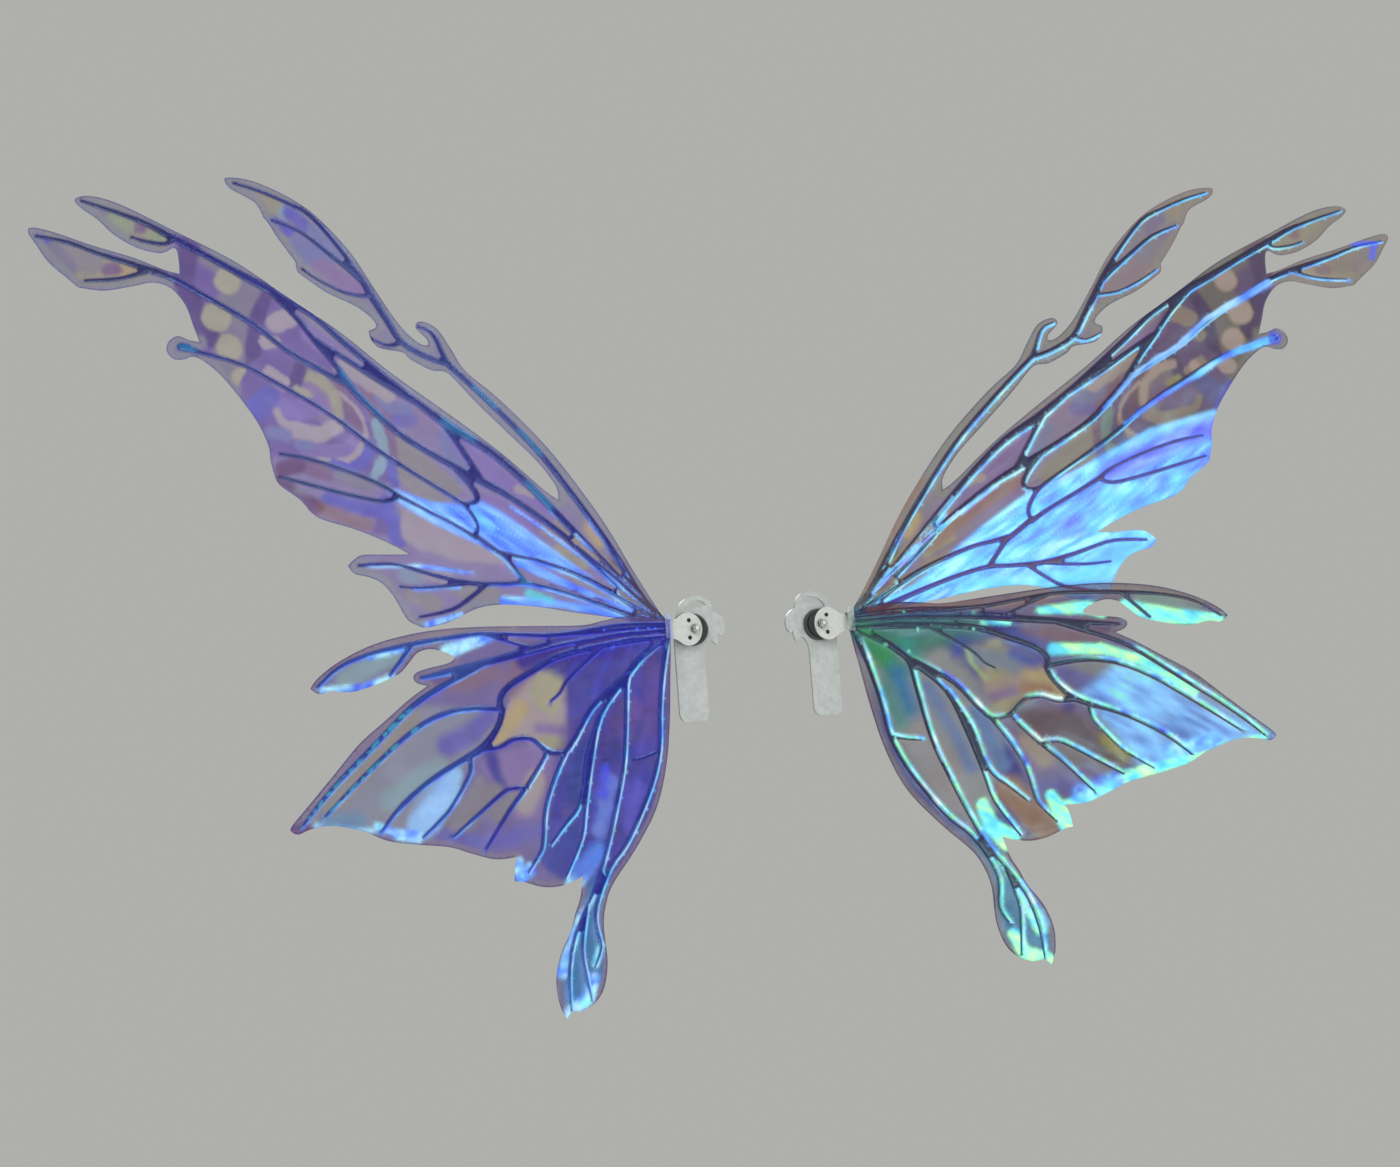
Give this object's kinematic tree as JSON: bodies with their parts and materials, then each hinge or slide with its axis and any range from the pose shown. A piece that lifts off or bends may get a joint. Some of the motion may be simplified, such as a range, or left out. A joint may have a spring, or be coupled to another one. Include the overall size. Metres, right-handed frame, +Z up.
{
  "type": "fairy wings",
  "caption": "Iridescent fairy wings: see-through film panels with dark branching veins that swivel on bolted plates tucked into the back of a corset.",
  "frame": {"origin": "midway between the two pivot bolts, on the plane of the rear faces that lie on the wearer's back", "axes": "+X to the wearer's right, +Y forward into the wearer's back, +Z up"},
  "size_m": [1.1158, 0.0848, 0.632],
  "materials": {
    "back_plate": "frosted grey, slightly translucent",
    "zinc": "bright zinc plating",
    "nylon": "natural nylon",
    "rear_disc": "dark grey, matt, grooved rim",
    "front_disc": "black, matt",
    "white_plate": "satin white",
    "wrap_film": "clear bluish film",
    "vein_sheet": "dark indigo with an iridescent sheen",
    "upper_film": "clear iridescent film, lavender to cyan",
    "lower_film": "clear iridescent film, indigo to cyan"
  },
  "bodies": {
    "back_plates": {"left_back_plate": "back_plate", "left_pivot_bolt": "zinc", "left_rear_disc": "rear_disc", "left_lock_nut": "zinc", "left_nut_insert": "nylon", "right_back_plate": "back_plate", "right_pivot_bolt": "zinc", "right_rear_disc": "rear_disc", "right_lock_nut": "zinc", "right_nut_insert": "nylon"},
    "left_wing": {"left_front_disc": "front_disc", "left_wing_plate": "white_plate", "left_root_wrap": "wrap_film", "left_upper_veins": "vein_sheet", "left_upper_film_front": "upper_film", "left_upper_film_back": "upper_film", "left_lower_veins": "vein_sheet", "left_lower_film_front": "lower_film", "left_lower_film_back": "lower_film"},
    "right_wing": {"right_front_disc": "front_disc", "right_wing_plate": "white_plate", "right_root_wrap": "wrap_film", "right_upper_veins": "vein_sheet", "right_upper_film_front": "upper_film", "right_upper_film_back": "upper_film", "right_lower_veins": "vein_sheet", "right_lower_film_front": "lower_film", "right_lower_film_back": "lower_film"}
  },
  "joints": [
    {"name": "left_swivel", "type": "hinge", "parent": "back_plates", "child": "left_wing", "pos_m": [-0.053, -0.0085, 0], "axis": [0, 1, 0], "range_deg": [-28, 45]},
    {"name": "right_swivel", "type": "hinge", "parent": "back_plates", "child": "right_wing", "pos_m": [0.053, -0.0085, 0], "axis": [0, -1, 0], "range_deg": [-28, 45]}
  ]
}
